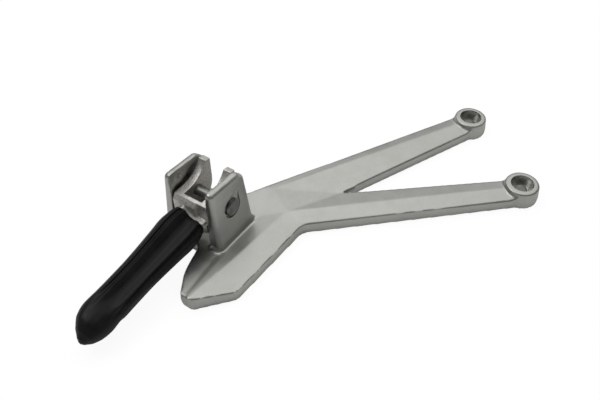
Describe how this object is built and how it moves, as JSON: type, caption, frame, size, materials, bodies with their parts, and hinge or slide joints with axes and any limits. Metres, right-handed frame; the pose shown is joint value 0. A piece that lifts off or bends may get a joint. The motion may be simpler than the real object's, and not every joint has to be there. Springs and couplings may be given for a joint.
{
  "type": "motorcycle passenger footrest bracket",
  "caption": "Forked cast footrest hanger with bolt bosses and a rubber-covered folding footpeg pinned between its ears.",
  "frame": {"origin": "centre of the lower bolt hole on the mounting face", "axes": "+X along the arms, from the hinge towards the bolt bosses; +Y along the hinge pin, from the headed end to the split pin; +Z along the bolt holes, away from the mounting face"},
  "size_m": [0.3575, 0.2236, 0.0608],
  "materials": {
    "cast_aluminium": "satin, fine as-cast and clear-coated",
    "bare_aluminium": "rough, as cast",
    "dark_steel": "dull",
    "plated_steel": "zinc plated",
    "black_rubber": "matt moulded"
  },
  "bodies": {
    "hanger": {"bracket": "cast_aluminium", "hinge_pin": "dark_steel", "pin_washer": "plated_steel", "split_pin": "plated_steel"},
    "footpeg": {"footpeg_core": "bare_aluminium", "footpeg_rubber": "black_rubber", "detent_spring": "dark_steel"},
    "ball": {"detent_ball": "plated_steel"}
  },
  "joints": [
    {"name": "peg_fold", "type": "hinge", "parent": "hanger", "child": "footpeg", "pos_m": [-0.1606, 0.178, 0.0382], "axis": [0, 1, 0], "range_deg": [0, 90]},
    {"name": "ball_slide", "type": "slide", "parent": "footpeg", "child": "ball", "axis": [0, 1, 0], "range_m": [0, 0.0008]}
  ]
}
